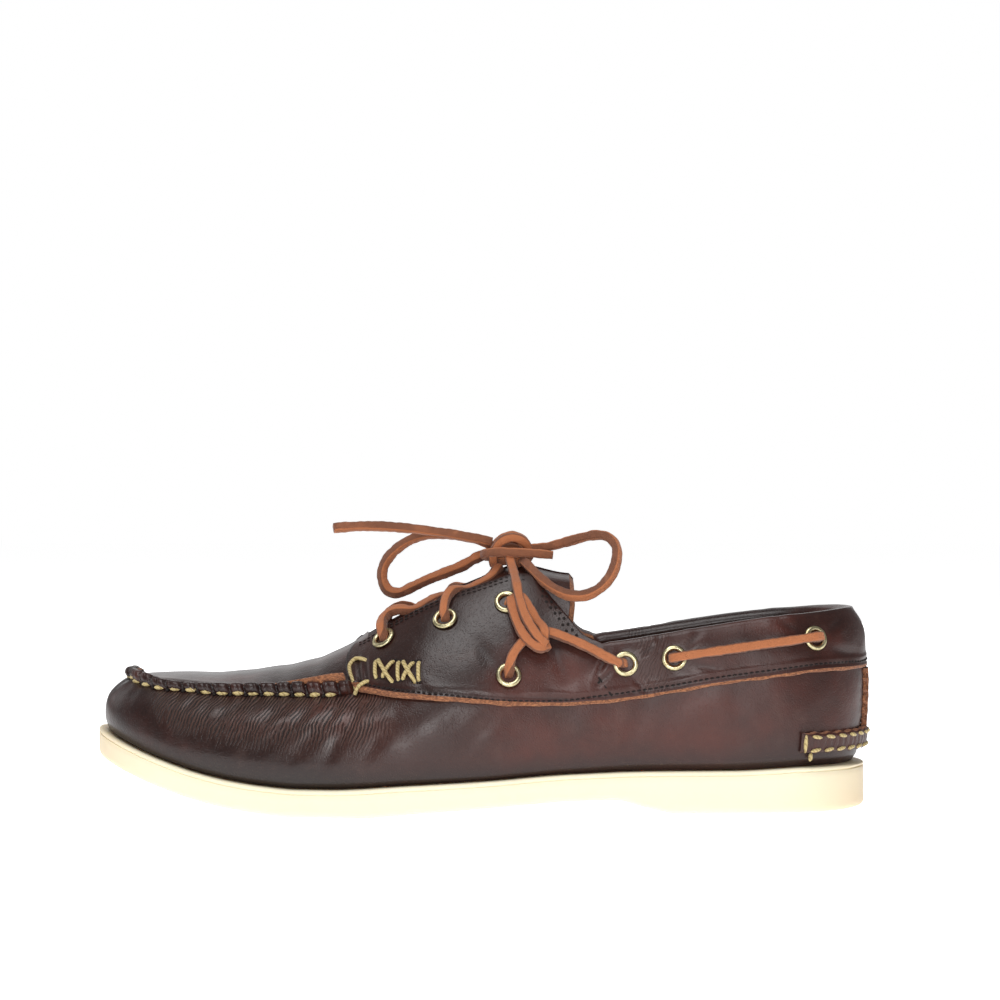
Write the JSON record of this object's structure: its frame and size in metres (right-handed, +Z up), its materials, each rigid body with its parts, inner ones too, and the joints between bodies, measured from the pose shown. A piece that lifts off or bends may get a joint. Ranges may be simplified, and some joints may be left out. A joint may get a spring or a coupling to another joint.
{
  "type": "boat shoe",
  "caption": "Low laced moccasin boat shoe for the left foot, with a raised sewn toe seam, a collar band with side lacing, a bow and a flat moulded sole.",
  "frame": {"origin": "on the floor under the middle of the shoe's length and width", "axes": "toe to -X, outer side of the foot to -Y, +Z up"},
  "size_m": [0.2941, 0.1052, 0.1072],
  "materials": {
    "leather": "oiled dark brown leather",
    "rubber": "matt cream moulded rubber",
    "lining": "plain tan lining leather",
    "brass": "aged brass",
    "rawhide": "dry orange-tan rawhide",
    "thread": "waxed mustard thread"
  },
  "bodies": {
    "root": {"outsole": "rubber", "insole": "lining", "upper": "leather", "tongue": "leather", "saddle_band": "leather", "collar_roll": "leather", "heel_strap": "leather", "back_strip": "leather", "eyelet_front_outer": "brass", "eyelet_middle_outer": "brass", "eyelet_rear_outer": "brass", "eyelet_low_outer": "brass", "eyelet_side_1_outer": "brass", "eyelet_side_2_outer": "brass", "eyelet_side_3_outer": "brass", "eyelet_front_inner": "brass", "eyelet_middle_inner": "brass", "eyelet_rear_inner": "brass", "eyelet_low_inner": "brass", "eyelet_side_1_inner": "brass", "eyelet_side_2_inner": "brass", "eyelet_side_3_inner": "brass", "lace_bar_front": "rawhide", "lace_bar_middle": "rawhide", "lace_tie_outer": "rawhide", "lace_tie_inner": "rawhide", "lace_side_outer": "rawhide", "lace_side_inner": "rawhide", "lace_knot": "rawhide", "lace_loop_left": "rawhide", "lace_loop_right": "rawhide", "lace_end_long": "rawhide", "lace_end_short": "rawhide"}
  },
  "joints": []
}
